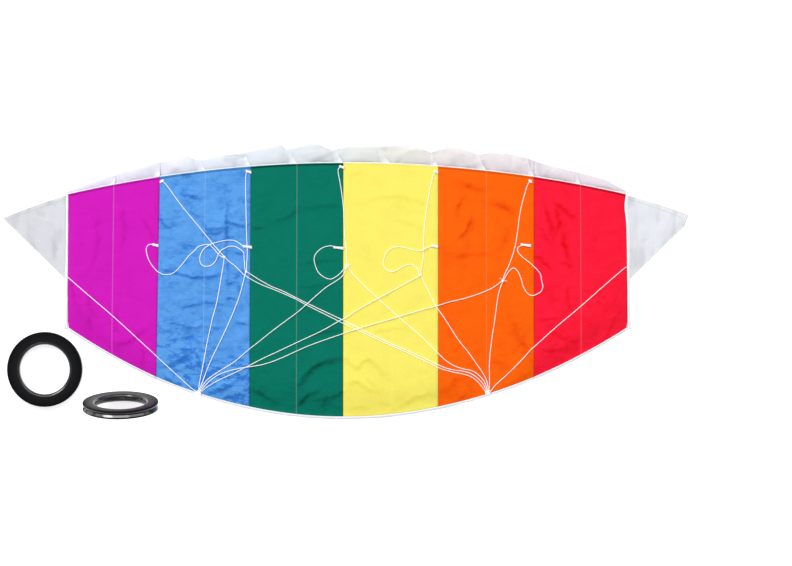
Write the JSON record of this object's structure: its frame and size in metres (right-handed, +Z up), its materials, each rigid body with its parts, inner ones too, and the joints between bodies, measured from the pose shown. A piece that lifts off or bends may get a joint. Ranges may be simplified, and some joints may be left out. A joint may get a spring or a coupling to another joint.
{
  "type": "parafoil kite",
  "caption": "Foil kite laid flat, bridled side up: coloured cell panels, white nose band and wing tips, slack two-point bridle, and round grooved hand winders.",
  "frame": {"origin": "on the surface the kite lies on, under the middle of the box around it without its lines", "axes": "+X along the span, towards the red panel; +Y from the trailing edge towards the nose; +Z up, out of the bridled skin"},
  "size_m": [1.3, 0.521, 0.1406],
  "materials": {
    "cloth_magenta": "satin ripstop",
    "cloth_blue": "satin ripstop",
    "cloth_green": "satin ripstop",
    "cloth_yellow": "satin ripstop",
    "cloth_orange": "satin ripstop",
    "cloth_red": "satin ripstop",
    "cloth_white": "satin ripstop",
    "tape_white": "woven",
    "line_white": "braided",
    "ring_black": "glossy"
  },
  "bodies": {
    "canopy_middle": {"blue_panel": "cloth_blue", "green_panel": "cloth_green", "yellow_panel": "cloth_yellow", "orange_panel": "cloth_orange", "upper_skin_centre": "cloth_white", "main_rib_1": "cloth_white", "main_rib_2": "cloth_white", "main_rib_3": "cloth_white", "main_rib_4": "cloth_white", "main_rib_5": "cloth_white", "half_ribs_centre": "cloth_white", "trailing_hem_centre": "tape_white", "leading_tape_centre": "tape_white", "leading_tabs": "tape_white", "middle_tabs": "tape_white", "bridle_1": "line_white", "bridle_2": "line_white", "bridle_3": "line_white", "bridle_4": "line_white", "bridle_5": "line_white", "leader_1_left": "line_white", "leader_2_left": "line_white", "leader_3_left": "line_white", "leader_4_left": "line_white", "leader_5_left": "line_white", "leader_1_right": "line_white", "leader_2_right": "line_white", "leader_3_right": "line_white", "leader_4_right": "line_white", "leader_5_right": "line_white", "tip_line_left_inner": "line_white", "tip_line_right_inner": "line_white", "rib_knots": "line_white", "tow_knot_left": "line_white", "tow_knot_right": "line_white"},
    "outer_panel_left": {"magenta_panel": "cloth_magenta", "upper_skin_left": "cloth_white", "side_rib_left": "cloth_white", "half_rib_left": "cloth_white", "trailing_hem_left": "tape_white", "leading_tape_left": "tape_white", "middle_tab_left": "tape_white", "bridle_1_loop": "line_white", "tip_line_left_outer": "line_white"},
    "outer_panel_right": {"red_panel": "cloth_red", "upper_skin_right": "cloth_white", "side_rib_right": "cloth_white", "half_rib_right": "cloth_white", "trailing_hem_right": "tape_white", "leading_tape_right": "tape_white", "bridle_5_loop": "line_white", "tip_line_right_outer": "line_white"},
    "wing_tip_left": {"wing_tip_left": "cloth_white"},
    "wing_tip_right": {"wing_tip_right": "cloth_white"},
    "tow_tail_left": {"tow_tail_left": "line_white"},
    "tow_tail_right": {"tow_tail_right": "line_white"},
    "ring_1": {"ring_1_upper": "ring_black", "ring_1_lower": "ring_black"},
    "ring_2": {"ring_2_upper": "ring_black", "ring_2_lower": "ring_black"}
  },
  "joints": [
    {"name": "fold_outer_left", "type": "hinge", "parent": "canopy_middle", "child": "outer_panel_left", "pos_m": [-0.3545, 0, 0.01], "axis": [0, 1, 0], "range_deg": [0, 120]},
    {"name": "fold_outer_right", "type": "hinge", "parent": "canopy_middle", "child": "outer_panel_right", "pos_m": [0.3545, 0, 0.01], "axis": [0, -1, 0], "range_deg": [0, 120]},
    {"name": "fold_tip_left", "type": "hinge", "parent": "outer_panel_left", "child": "wing_tip_left", "pos_m": [-0.53225, 0, 0.01], "axis": [0, 1, 0], "range_deg": [0, 170]},
    {"name": "fold_tip_right", "type": "hinge", "parent": "outer_panel_right", "child": "wing_tip_right", "pos_m": [0.53225, 0, 0.01], "axis": [0, -1, 0], "range_deg": [0, 170]},
    {"name": "swing_tail_left", "type": "hinge", "parent": "canopy_middle", "child": "tow_tail_left", "pos_m": [-0.279, -0.209, 0.0126], "axis": [0, 0, 1], "range_deg": [-20, 20]},
    {"name": "swing_tail_right", "type": "hinge", "parent": "canopy_middle", "child": "tow_tail_right", "pos_m": [0.269, -0.209, 0.0126], "axis": [0, 0, 1], "range_deg": [-20, 20]},
    {"name": "lift_ring_1", "type": "slide", "parent": "canopy_middle", "child": "ring_1", "axis": [0, 0, 1], "range_m": [0, 0.15]},
    {"name": "tip_ring_2", "type": "hinge", "parent": "canopy_middle", "child": "ring_2", "pos_m": [-0.422, -0.219, 0.002], "axis": [1, 0, 0], "range_deg": [-14, 76]}
  ]
}
